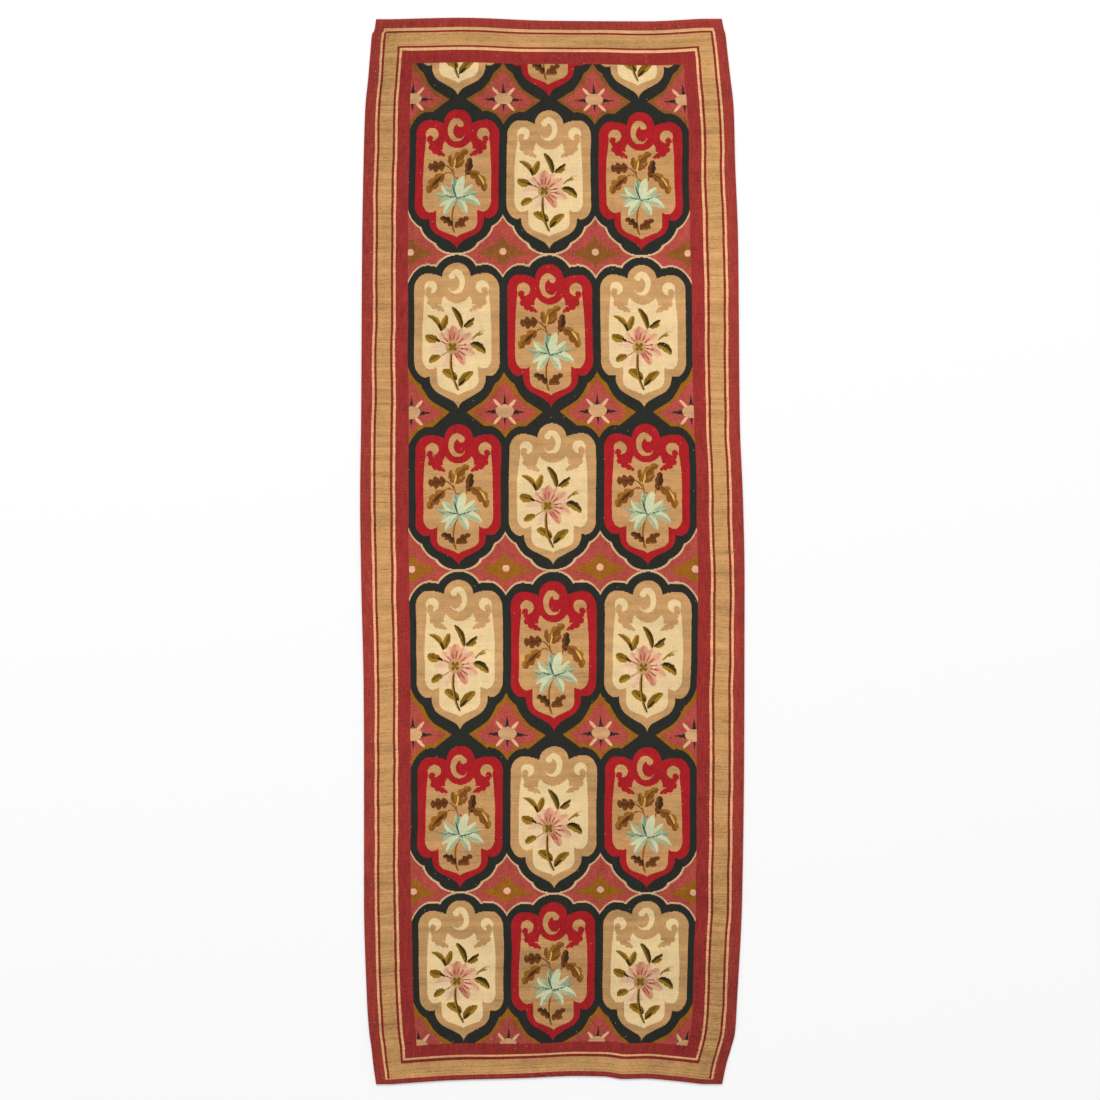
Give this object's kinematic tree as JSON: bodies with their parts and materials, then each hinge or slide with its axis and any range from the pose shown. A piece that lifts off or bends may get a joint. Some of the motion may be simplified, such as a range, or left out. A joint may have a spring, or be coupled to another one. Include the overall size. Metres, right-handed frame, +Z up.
{
  "type": "aubusson runner",
  "caption": "Long flat-woven wool runner with a red and tan striped border around a field of black-banded floral cartouches; it lies flat on a floor.",
  "frame": {"origin": "on the floor, under the middle of the runner's outline box", "axes": "+X across the runner, +Y along it towards the top of the design, +Z up out of its face"},
  "size_m": [1.13, 3.1349, 0.0045],
  "materials": {
    "woven_wool": "matte tapestry weave"
  },
  "bodies": {
    "root": {"runner": "woven_wool"}
  },
  "joints": []
}
